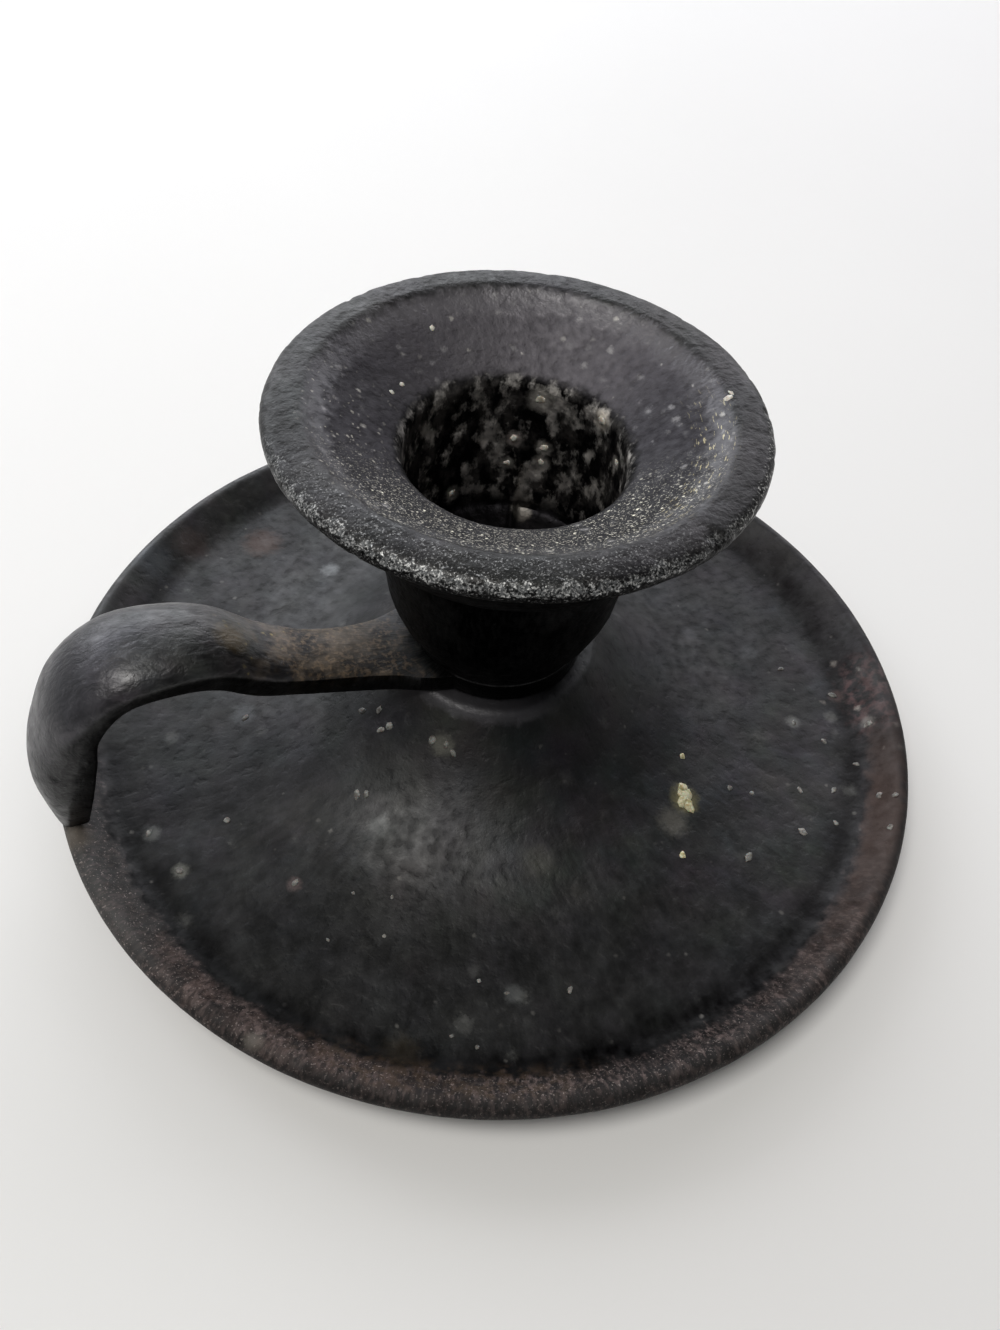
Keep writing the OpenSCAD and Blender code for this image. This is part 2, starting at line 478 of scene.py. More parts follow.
        pit = g.add("MapRange", {0: sand, 1: 0.28, 2: 0.48, 3: 1.0, 4: 0.0}, interpolation_type="SMOOTHSTEP")
        fine = g.add("Math", {0: grain, 1: self.grain_height}, operation="MULTIPLY")
        drawn_out = g.add("Math", {0: lines, 1: self.streak_height, 2: fine}, operation="MULTIPLY_ADD")
        swell = g.add("Math", {0: sand, 1: self.sand_height, 2: drawn_out}, operation="MULTIPLY_ADD")
        height = g.add("Math", {0: pit, 1: -self.pit_height, 2: swell}, operation="MULTIPLY_ADD")
        normal = g.add("Bump", {"Height": height, "Strength": 1.0, "Distance": MM})
        surface = g.add("BsdfPrincipled", {"Base Color": colour, "Metallic": metal, "Roughness": rough,
                                           "Specular IOR Level": self.gloss, "Normal": normal,
                                           "Coat Weight": self.polish, "Coat Roughness": 0.3})
        g.add("OutputMaterial", {"Surface": surface})
        return g.owner

    @staticmethod
    def polar_place(g: Graph, mm: Socket) -> Socket:
        """Builds the place round the Z axis: length along the turn at 40 mm, distance from the axis, height.

        Args:
            g: The material's nodes.
            mm: Place in millimetres.

        Returns:
            The place as a vector in millimetres.
        """
        flat = g.add("VectorMath", {0: mm, 1: (1, 1, 0)}, operation="MULTIPLY")
        radius = g.add("VectorMath", {0: flat}, out="Value", operation="LENGTH")
        turn = g.add("Math", {0: g.add("SeparateXYZ", {0: mm}, out="Y"), 1: g.add("SeparateXYZ", {0: mm}, out="X")},
                     operation="ARCTAN2")
        return g.add("CombineXYZ", {0: g.add("Math", {0: turn, 1: 40.0}, operation="MULTIPLY"), 1: radius,
                                    2: g.add("SeparateXYZ", {0: mm}, out="Z")})

    @staticmethod
    def zone_mask(g: Graph, mm: Socket, polar: Socket, ragged: Socket, tear: Socket, zone: Zone) -> Socket:
        """Builds the mask of a zone.

        Args:
            g: The material's nodes.
            mm: Place in millimetres.
            polar: The same place round the Z axis.
            ragged: Noise that frays the zone's edge.
            tear: Coloured noise that pulls specks out of round.
            zone: The zone.

        Returns:
            The mask, from 0 to the zone's strength.
        """
        fray = g.add("Math", {0: ragged, 1: 2 * zone.ragged, 2: -zone.ragged}, operation="MULTIPLY_ADD")
        radius = g.add("SeparateXYZ", {0: polar}, out="Y")
        distance = g.add("Math", {0: radius, 1: fray}, operation="ADD")
        level = g.add("Math", {0: g.add("SeparateXYZ", {0: polar}, out="Z"), 1: fray}, operation="ADD")
        steps = ((distance, zone.inner, zone.soft, 1), (distance, zone.outer, zone.soft, -1),
                 (level, zone.low, zone.rise, 1), (level, zone.high, zone.rise, -1))
        mask: object = zone.strength
        for value, edge, soft, sign in steps:
            part = g.add("MapRange", {0: value, 1: edge - sign * soft, 2: edge + sign * soft},
                         interpolation_type="SMOOTHSTEP")
            mask = g.add("Math", {0: part, 1: mask}, operation="MULTIPLY")
        if zone.half_turn < 180:
            angle = math.radians(zone.azimuth)
            flat = g.add("VectorMath", {0: mm, 1: (1, 1, 0)}, operation="MULTIPLY")
            aim = g.add("VectorMath", {0: g.add("VectorMath", {0: flat}, operation="NORMALIZE"),
                                       1: (math.cos(angle), math.sin(angle), 0)}, out="Value",
                        operation="DOT_PRODUCT")
            near = math.cos(math.radians(max(zone.half_turn - zone.blend, 0)))
            past = math.cos(math.radians(min(zone.half_turn + zone.blend, 180)))
            part = g.add("MapRange", {0: aim, 1: past, 2: near}, interpolation_type="SMOOTHSTEP")
            mask = g.add("Math", {0: part, 1: mask}, operation="MULTIPLY")
        if zone.faces is not Faces.ALL:
            up = g.add("SeparateXYZ", {0: g.add("NewGeometry", out="Normal")}, out="Z")
            none, full = (0.42, 0.18) if zone.faces is Faces.SIDES else (0.0, 0.2)
            part = g.add("MapRange", {0: up, 1: none, 2: full}, interpolation_type="SMOOTHSTEP")
            mask = g.add("Math", {0: part, 1: mask}, operation="MULTIPLY")
        if zone.pattern is Pattern.PLAIN:
            return mask
        size = zone.pattern_mm
        if zone.pattern is Pattern.SPECKS:
            torn = g.add("VectorMath", {0: tear, 1: (zone.torn,) * 3}, operation="MULTIPLY")
            place = g.add("VectorMath", {0: mm, 1: (1 / size,) * 3, 2: torn}, operation="MULTIPLY_ADD")
            near = g.add("TexVoronoi", {"Vector": place, "Scale": 1.0})
            lot = g.add("SeparateXYZ", {0: near.node.outputs["Color"]})
            near = g.add("Math", {0: lot.node.outputs["Y"], 1: 0.25, 2: near}, operation="MULTIPLY_ADD")
            dot = g.add("MapRange", {0: near, 1: 0.46, 2: 0.46 - 5 * zone.crisp}, interpolation_type="SMOOTHSTEP")
            part = g.add("MapRange", {0: lot, 1: 1 - zone.cover, 2: 1.02 - 0.5 * zone.cover})
            part = g.add("Math", {0: part, 1: dot}, operation="MULTIPLY")
            return g.add("Math", {0: part, 1: mask}, operation="MULTIPLY")
        if zone.pattern is Pattern.STREAKS:
            place = g.add("VectorMath", {0: polar, 1: (1 / size, 1 / (size * zone.stretch), 0.5 / size)},
                          operation="MULTIPLY")
        else:
            place = g.add("VectorMath", {0: mm, 1: (1 / size, 1 / size, 1 / (size * zone.stretch))},
                          operation="MULTIPLY")
        field_ = g.add("TexNoise", {"Vector": place, "Scale": 1.0, "Detail": zone.detail, "Roughness": 0.62})
        edge = 0.66 - 0.32 * zone.cover
        part = g.add("MapRange", {0: field_, 1: edge - zone.crisp, 2: edge + zone.crisp},
                     interpolation_type="SMOOTHSTEP")
        return g.add("Math", {0: part, 1: mask}, operation="MULTIPLY")


@dataclass(frozen=True)
class AgedSteel:
    """Mild steel, turned and left damp: brown rust over a dull grey metal."""

    name: str = "aged_turned_steel"
    metal: str = "#6a6763"
    rust: str = "#4a3426"

    def make(self) -> bpy.types.Material:
        """Builds the material.

        Returns:
            The material.
        """
        g = Graph(bpy.data.materials.new(self.name))
        mm = g.add("VectorMath", {0: g.add("TexCoord", out="Object"), 1: (1 / MM,) * 3}, operation="MULTIPLY")
        patches = g.add("TexNoise", {"Vector": mm, "Scale": 0.7, "Detail": 6.0, "Roughness": 0.65})
        mask = g.add("MapRange", {0: patches, 1: 0.42, 2: 0.6}, interpolation_type="SMOOTHSTEP")
        colour = g.add("Mix", {0: mask, 6: linear(self.metal), 7: linear(self.rust)}, out=2, data_type="RGBA")
        metallic = g.add("MapRange", {0: mask, 3: 1.0, 4: 0.1})
        rough = g.add("MapRange", {0: mask, 3: 0.38, 4: 0.8})
        grit = g.add("TexNoise", {"Vector": mm, "Scale": 4.0, "Detail": 3.0})
        height = g.add("Math", {0: g.add("Math", {0: grit, 1: mask}, operation="MULTIPLY"), 1: 0.06},
                       operation="MULTIPLY")
        normal = g.add("Bump", {"Height": height, "Strength": 1.0, "Distance": MM})
        surface = g.add("BsdfPrincipled", {"Base Color": colour, "Metallic": metallic, "Roughness": rough,
                                           "Normal": normal})
        g.add("OutputMaterial", {"Surface": surface})
        return g.owner


@dataclass(frozen=True)
class Residue:
    """Candle wax or grit that dried on the iron: soft, slightly see-through where thick, dulled by dust."""

    name: str
    pale: str
    dirty: str
    roughness: float = 0.5

    def make(self) -> bpy.types.Material:
        """Builds the material.

        Returns:
            The material.
        """
        g = Graph(bpy.data.materials.new(self.name))
        mm = g.add("VectorMath", {0: g.add("TexCoord", out="Object"), 1: (1 / MM,) * 3}, operation="MULTIPLY")
        soil = g.add("TexNoise", {"Vector": mm, "Scale": 1.6, "Detail": 4.0, "Roughness": 0.6})
        mask = g.add("MapRange", {0: soil, 1: 0.38, 2: 0.62}, interpolation_type="SMOOTHSTEP")
        colour = g.add("Mix", {0: mask, 6: linear(self.pale), 7: linear(self.dirty)}, out=2, data_type="RGBA")
        height = g.add("Math", {0: soil, 1: 0.05}, operation="MULTIPLY")
        normal = g.add("Bump", {"Height": height, "Strength": 1.0, "Distance": MM})
        surface = g.add("BsdfPrincipled", {"Base Color": colour, "Roughness": self.roughness,
                                           "Subsurface Weight": 0.15, "Subsurface Scale": 0.4 * MM,
                                           "Normal": normal})
        g.add("OutputMaterial", {"Surface": surface})
        return g.owner


@dataclass
class DripPan:
    """The round pan with its hub, trumpet slope, upturned rim and the ring that it stands on."""

    hub_rise: float = 8.8
    rim_slope: float = 40.0
    rim_edge_t: float = 2.4
    depth: float = 3.2
    wall: float = 2.8
    power: float = 3.4
    hub_edge_r: float = 1.5
    corner_r: float = 3.0
    ring_r: float = 42.0
    ring_half: float = 2.3
    hole_r: float = 2.3
    swell: float = 0.07
    segments: int = 384

    def __post_init__(self) -> None:
        """Reads the pan's outer sizes from the frame."""
        low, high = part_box("drip_pan")
        self.radius = high.x / MM
        self.hub_z = high.z / MM
        self.rim_z = self.hub_z - self.hub_rise
        self.gutter_z = self.rim_z - self.depth
        self.floor_z = self.gutter_z - self.wall
        self.hub_r = 12.3

    def profile(self) -> Profile:
        """The pan's section: over the top from the hole to the rim, then back underneath.

        Returns:
            The section's points.
        """
        edge_r = self.rim_edge_t / 2
        edge_x, edge_z = self.radius - edge_r, self.rim_z - edge_r
        slope = math.radians(self.rim_slope)
        slope_x, slope_z = edge_x - edge_r * math.sin(slope), edge_z + edge_r * math.cos(slope)
        corner_x = slope_x - (slope_z - self.gutter_z) / math.tan(slope) - self.corner_r * math.tan(slope / 2)
        ceiling_z, ceiling_r = self.hub_z - self.wall, self.hub_r - self.wall + 0.5
        outside, inside = self.ring_r + self.ring_half, self.ring_r - self.ring_half

        seat = [(self.hole_r + (self.hub_r - self.hub_edge_r - self.hole_r) * i / 8, self.hub_z) for i in range(8)]
        shoulder = arc(self.hub_r - self.hub_edge_r, self.hub_z - self.hub_edge_r, self.hub_edge_r, 90, 36, 10)
        flare = trumpet(shoulder[-1], (corner_x, self.gutter_z), self.power, 90)
        corner = arc(corner_x, self.gutter_z + self.corner_r, self.corner_r, 273, 270 + self.rim_slope, 10)
        edge = arc(edge_x, edge_z, edge_r, 90 + self.rim_slope, -64, 20)
        lower = [(outside + 3.4, self.floor_z + 1.1), (outside + 1.6, self.floor_z + 0.3),
                 (outside + 0.5, self.floor_z - 0.1), (outside + 0.05, 0.2), (outside - 0.2, 0.0)]
        rest = [(outside - 1.5, 0.0), (inside + 1.5, 0.0)]
        back = [(inside + 0.2, 0.0), (inside - 0.05, 0.2), (inside - 0.9, self.floor_z)]
        under = trumpet((ceiling_r, ceiling_z - 0.6), (inside - 1.6, self.floor_z), self.power, 50)
        ceiling = [(ceiling_r - 0.7, ceiling_z), (6.0, ceiling_z), (self.hole_r, ceiling_z)]
        return seat + shoulder + flare[1:] + corner + edge + lower + rest + back + under[::-1] + ceiling

    def relief(self, p: Vector) -> float:
        """Unevenness of the sand mould, none where the pan is seated."""
        radius = math.hypot(p.x, p.y)
        free = smooth_step(radius, self.hub_r - 0.5, self.hub_r + 2) * smooth_step(p.z, 0.1, 0.8)
        skin = 0.6 * unevenness(p, 9, 1.0) + 0.3 * unevenness(p, 2.6, 4.0) + 0.15 * unevenness(p, 1.1, 7.0)
        return self.swell * free * skin

    def build(self, finish: bpy.types.Material) -> bpy.types.Object:
        """Casts the pan.

        Args:
            finish: The pan's material.

        Returns:
            The pan.
        """
        piece = Piece("cast_drip_pan")
        piece.lathe(self.profile(), self.segments)
        piece.roughen(self.relief)
        made = piece.make()
        show(made, finish, Shade.CAST, ("drip_pan",))
        return made


@dataclass
class StrapHandle:
    """The strap handle with its round eye, cast in one."""

    eye_r: float = 9.9
    eye_t: float = 2.8
    hole_r: float = 2.3
    eye_round: float = 0.45
    run: tuple[float, ...] = (6, 10.5, 14.4, 19, 24, 29, 33.2, 37.5, 41.6, 44.8, 46, 47.5, 49.1)
    rise: tuple[float, ...] = (8.9, 8.9, 9.2, 10.1, 11.8, 14.4, 17.7, 19, 18.8, 15.8, 11.3, 5.8, -0.6)
    width: tuple[float, ...] = (13.07, 11.09, 8.6, 7.6, 7.8, 9.1, 10.3, 11.4, 12.1, 12.4, 12.2, 11.2, 8)
    side: tuple[float, ...] = (2.45, 2.45, 2.6, 2.5, 2.2, 2, 1.7, 1.3, 1.1, 1.3, 1.9, 2.1, 1.8)
    crown: tuple[float, ...] = (0.15, 0.15, 0.4, 0.9, 1.2, 1.8, 2.3, 2.5, 2.7, 3.3, 3.8, 3.5, 1.7)
    hollow: tuple[float, ...] = (0.06, 0.06, 0.06, 0.08, 0.15, 0.3, 0.5, 0.7, 0.8, 0.8, 0.6, 0.3, 0.08)
    corner: float = 0.35
    steps: int = 220
    crown_steps: int = 44
    hollow_steps: int = 12
    swell: float = 0.09

    def __post_init__(self) -> None:
        """Reads the seat's height and the rim's height from the frame."""
        self.seat_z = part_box("drip_pan")[1].z / MM
        self.rim_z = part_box("handle")[0].z / MM

    def outline(self, t: float) -> Profile:
        """Cross-section of the strap: hollow below, short sides, rounded crown.

        Args:
            t: Place along the strap, in control stations.

        Returns:
            Points across and above the underside.
        """
        half, side = spline(self.width, t) / 2, spline(self.side, t)
        crown, hollow = spline(self.crown, t), spline(self.hollow, t)
        flat = half - self.corner
        across = [-1 + 2 * i / self.hollow_steps for i in range(self.hollow_steps + 1)]
        below = [(flat * u, hollow * (1 - u * u)) for u in across]
        eased = [math.radians(a) for a in (-60, -30, 0)]
        right = [(flat + self.corner * math.cos(a), self.corner + self.corner * math.sin(a)) for a in eased]
        left = [(-x, z) for x, z in reversed(right)]
        turns = [math.pi * i / self.crown_steps for i in range(self.crown_steps + 1)]
        above = [(half * math.copysign(abs(math.cos(a)) ** 0.9, math.cos(a)), side + crown * math.sin(a))
                 for a in turns]
        return below + right + above + left

    def ring(self, step: int) -> list[Point]:
        """Outline of the strap at one step, set square to its path.

        Args:
            step: Number of the step.

        Returns:
            Its points.
        """
        last = len(self.run) - 1
        t = last * step / self.steps
        before, after = max(t - 0.02, 0), min(t + 0.02, last)
        dx = spline(self.run, after) - spline(self.run, before)
        dz = spline(self.rise, after) - spline(self.rise, before)
        length = math.hypot(dx, dz)
        x, z = spline(self.run, t), self.rim_z - 0.05 + spline(self.rise, t)
        return [(-(x - up * dz / length), across, z + up * dx / length) for across, up in self.outline(t)]

    def relief(self, p: Vector) -> float:
        """Unevenness of the mould, none on the eye's seats."""
        free = smooth_step(-p.x, 10.5, 14) * smooth_step(p.z, self.rim_z + 0.1, self.rim_z + 0.8)
        skin = 0.7 * unevenness(p, 7, 2.0) + 0.3 * unevenness(p, 2.2, 5.0) + 0.15 * unevenness(p, 1.0, 8.0)
        return self.swell * free * skin

    def build(self, finish: bpy.types.Material) -> bpy.types.Object:
        """Casts the handle.

        Args:
            finish: The handle's material.

        Returns:
            The handle.
        """
        strap = Piece("cast_strap_handle")
        strap.sweep([self.ring(i) for i in range(self.steps + 1)])
        strap.cut(self.rim_z)
        strap.roughen(self.relief)
        made = strap.make()
        eye = Piece("eye")
        low, high, soft = self.seat_z, self.seat_z + self.eye_t, self.eye_round
        rim = arc(self.eye_r - soft, low + soft, soft, -90, 0, 5) + arc(self.eye_r - soft, high - soft, soft, 0, 90, 5)
        eye.lathe([(self.hole_r, high), (self.hole_r, low), (5.0, low)] + rim + [(5.0, high)], 192)
        combine(made, eye.make(), "UNION")
        show(made, finish, Shade.CAST, ("handle",))
        return made


@dataclass
class CandleSocket:
    """The cup with its candle bore, wax dish and rounded lip."""

    bore_r: float = 11.3
    bore_depth: float = 16.4
    mouth_r: float = 1.8
    lip_band: float = 4.7
    lip_t: float = 2.4
    dish_depth: float = 6.6
    foot_r: float = 10.15
    tapped_r: float = 2.13
    tapped_depth: float = 6.0
    seam_azimuth: float = 62.0
    nick: Point = (8.77, -21.94, 48.9)
    swell: float = 0.1
    segments: int = 360

    def __post_init__(self) -> None:
        """Reads the socket's outer sizes from the frame."""
        low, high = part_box("candle_socket")
        self.foot_z = low.z / MM
        self.lip_z = high.z / MM
        self.lip_r = high.x / MM
        self.bore_top = self.lip_z - self.dish_depth
        self.bore_floor = self.bore_top - self.bore_depth

    def profile(self) -> Profile:
        """The socket's section, from the bore's floor over the lip and down to the tapped hole.

        Returns:
            The section's points.
        """
        cup_r, neck_r, neck_z = self.bore_r + 2.2, self.bore_r + 2.9, self.foot_z + 17.6
        stations = (0.5, 1.4, 2.5, 4, 5.5, 7, 9, 12, 16.2, 17.6)
        widths = [self.foot_r + grow for grow in (0, 0.4, 0.9, 1.6, 2.2, 2.6)] + [
            cup_r - 0.5, cup_r, neck_r - 0.2, neck_r]
        last = len(stations) - 1
        cup = [(spline(widths, last * i / 40), self.foot_z + spline(stations, last * i / 40)) for i in range(41)]
        top_z = self.lip_z - self.lip_t - 0.1
        shares = [i / 28 for i in range(1, 29)]
        flare = [(neck_r + (self.lip_r - 1.6 - neck_r) * u ** 0.86, neck_z + (top_z - neck_z) * u ** 1.22)
                 for u in shares]
        roll_r = self.lip_t / 2
        roll = arc(self.lip_r - roll_r, self.lip_z - roll_r - 0.1, roll_r, -62, 82, 22)
        crease_r, crease_z = self.lip_r - self.lip_band, self.lip_z - 0.75
        band = [(self.lip_r - self.lip_band * s, self.lip_z - 0.02 * abs(s - 0.5)) for s in (0.35, 0.5, 0.65, 0.78)]
        band += [(crease_r + 0.5, crease_z + 0.42), (crease_r + 0.2, crease_z + 0.14), (crease_r, crease_z)]
        run, fall = crease_r - self.bore_r - self.mouth_r, crease_z - self.bore_top
        lean = math.degrees(math.atan2(fall, run) - math.asin(self.mouth_r / math.hypot(run, fall)))
        mouth = arc(self.bore_r + self.mouth_r, self.bore_top, self.mouth_r, 90 + lean, 180, 16)
        cone = [(crease_r + (mouth[0][0] - crease_r) * i / 24, crease_z + (mouth[0][1] - crease_z) * i / 24)
                for i in range(1, 24)]
        wall = [(self.bore_r, self.bore_top - (self.bore_depth - 0.8) * i / 40) for i in range(1, 41)]
        floor = [(self.bore_r - 0.25, self.bore_floor + 0.25), (self.bore_r - 0.8, self.bore_floor)]
        floor += [((self.bore_r - 0.8) * (1 - i / 12), self.bore_floor) for i in range(1, 13)]
        tip = self.foot_z + self.tapped_depth
        hole = [(0.0, tip), (self.tapped_r, tip), (self.tapped_r, self.foot_z), (6.0, self.foot_z),
                (self.foot_r - 0.5, self.foot_z), (self.foot_r - 0.15, self.foot_z + 0.15)]
        return (hole + cup + flare + roll + band + cone + mouth + wall + floor[:-1] + [(0.0, self.bore_floor)])

    def relief(self, p: Vector) -> float:
        """Unevenness, the seam in the bore, the nick and the chips of the lip's edge."""
        radius = math.hypot(p.x, p.y)
        seat = smooth_step(p.z, self.foot_z + 0.6, self.foot_z + 1.6)
        skin = 0.6 * unevenness(p, 6, 3.0) + 0.35 * unevenness(p, 2.4, 6.0) + 0.2 * unevenness(p, 1.0, 9.0)
        height = self.swell * skin
        in_bore = smooth_step(self.bore_top - 2 - p.z, 0, 3) * (1 - smooth_step(radius, 11.6, 12.2))
        height += in_bore * 0.22 * (unevenness(p, 2.0, 11.0) + 0.5 * unevenness(p, 0.9, 12.0))
        turn = math.atan2(p.y, p.x) - math.radians(self.seam_azimuth)
        across = radius * math.sin(turn) if math.cos(turn) > 0 else 9
        height += in_bore * 0.55 * math.exp(-(across / 0.45) ** 2) * smooth_step(36 - p.z, 0, 3)
        edge = smooth_step(radius, self.lip_r - 1.6, self.lip_r - 0.4)
        chips = max(unevenness(p, 1.3, 14.0) - 0.25, 0)
        height -= edge * (0.35 * chips + 0.06 * abs(unevenness(p, 0.7, 15.0)))
        height -= 0.5 * math.exp(-((p - Vector(self.nick)).length / 0.7) ** 2)
        return min(height, 0.12 + in_bore) * seat

    def build(self, finish: bpy.types.Material) -> bpy.types.Object:
        """Casts the socket.

        Args:
            finish: The socket's material.

        Returns:
            The socket.
        """
        piece = Piece("cast_candle_socket")
        piece.lathe(self.profile(), self.segments)
        piece.roughen(self.relief)
        made = piece.make()
        show(made, finish, Shade.CAST, ("candle_socket",))
        return made


@dataclass
class BaseFixing:
    """The slotted screw with its cut thread and the washer under its head."""

    shank_r: float = 2.1
    pitch: float = 0.7
    thread_depth: float = 0.38
    slot_w: float = 1.1
    slot_depth: float = 1.3
    turns_steps: int = 72

    def __post_init__(self) -> None:
        """Reads the screw's and the washer's sizes from the frame."""
        low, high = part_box("base_screw")
        self.bottom, self.top, self.head_r = low.z / MM, high.z / MM, high.x / MM
        low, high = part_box("base_washer")
        self.washer_low, self.washer_high, self.washer_r = low.z / MM, high.z / MM, high.x / MM

    def thread(self, p: Vector) -> float:
        """Depth of the thread's groove at a place on the shank."""
        if p.z < self.washer_low + 0.5 or math.hypot(p.x, p.y) < self.shank_r - 0.05:
            return 0.0
        phase = (p.z / self.pitch - math.atan2(p.y, p.x) / (2 * math.pi)) % 1
        ends = smooth_step(p.z, self.washer_low + 0.5, self.washer_low + 1.2) * smooth_step(self.top - p.z, 0.2, 0.9)
        return -self.thread_depth * ends * min(1.0, max(0.0, 1.6 * abs(2 * phase - 1) - 0.3))

    def build(self, finish: bpy.types.Material) -> list[bpy.types.Object]:
        """Makes the screw and the washer.

        Args:
            finish: Their material.

        Returns:
            Both pieces.
        """
        head_h = self.washer_low - self.bottom
        dome = [(self.head_r * math.sin(math.pi * i / 40), self.washer_low - head_h * math.cos(math.pi * i / 40))
                for i in range(21)]
        rings = int((self.top - self.washer_low - 0.6) / self.pitch * 12)
        shank = [(self.shank_r, self.washer_low + (self.top - 0.6 - self.washer_low) * i / rings)
                 for i in range(rings + 1)]
        screw = Piece("base_screw_threaded")
        screw.lathe(dome + shank + [(self.shank_r - 0.6, self.top), (0.0, self.top)], self.turns_steps)
        screw.roughen(self.thread)
        made = screw.make()
        cutter = Piece("slot")
        half, deep = self.slot_w / 2, self.bottom + self.slot_depth
        cutter.sweep([[(x, -half, self.bottom - 1), (x, half, self.bottom - 1), (x, half, deep), (x, -half, deep)]
                      for x in (-self.head_r - 1, self.head_r + 1)])
        combine(made, cutter.make(), "DIFFERENCE")
        show(made, finish, Shade.TURNED, ("base_screw",))

        washer = Piece("base_washer_flat")
        hole_r, low, high, soft = self.shank_r + 0.2, self.washer_low, self.washer_high, 0.12
        washer.lathe([(hole_r + soft, low), (self.washer_r - soft, low), (self.washer_r, low + soft),
                      (self.washer_r, high - soft), (self.washer_r - soft, high), (hole_r + soft, high),
                      (hole_r, high - soft), (hole_r, low + soft)], 128)
        ring = washer.make()
        show(ring, finish, Shade.TURNED, ("base_washer",))
        return [made, ring]


@dataclass
class Crumbs:
    """Small lumps that stick to one casting, seated on its surface."""

    name: str
    slot: Slot
    places: tuple[tuple[Point, float], ...]
    thickness: float = 0.5
    seed: int = 1

    def build(self, carrier: bpy.types.Object, finish: bpy.types.Material) -> bpy.types.Object:
        """Seats the lumps.

        Args:
            carrier: The casting that they stick to.
            finish: Their material.

        Returns:
            The lumps as one piece.
        """
        chance = random.Random(self.seed)
        tree = BVHTree.FromObject(carrier, bpy.context.evaluated_depsgraph_get())
        piece = Piece(self.name)
        for place, radius in self.places:
            spot, normal, _, _ = tree.find_nearest(Vector(place) * MM)
            side = normal.orthogonal().normalized()
            other = normal.cross(side)
            turn = chance.uniform(0, math.pi)
            long_axis = side * math.cos(turn) + other * math.sin(turn)
            wide_axis = normal.cross(long_axis)
            stretch = chance.uniform(0.75, 1.35)
            shift = chance.uniform(0, 50)
            lump = bmesh.ops.create_icosphere(piece.mesh, subdivisions=2, radius=1.0)["verts"]
            for vert in lump:
                bulge = 1 + 0.45 * noise.noise(vert.co * 1.3 + Vector((shift, 0, 0)))
                x, y, z = vert.co * bulge * radius
                vert.co = spot / MM + long_axis * x * stretch + wide_axis * y / stretch + normal * z * self.thickness
        made = piece.make()
        show(made, finish, Shade.LUMP)
        return made


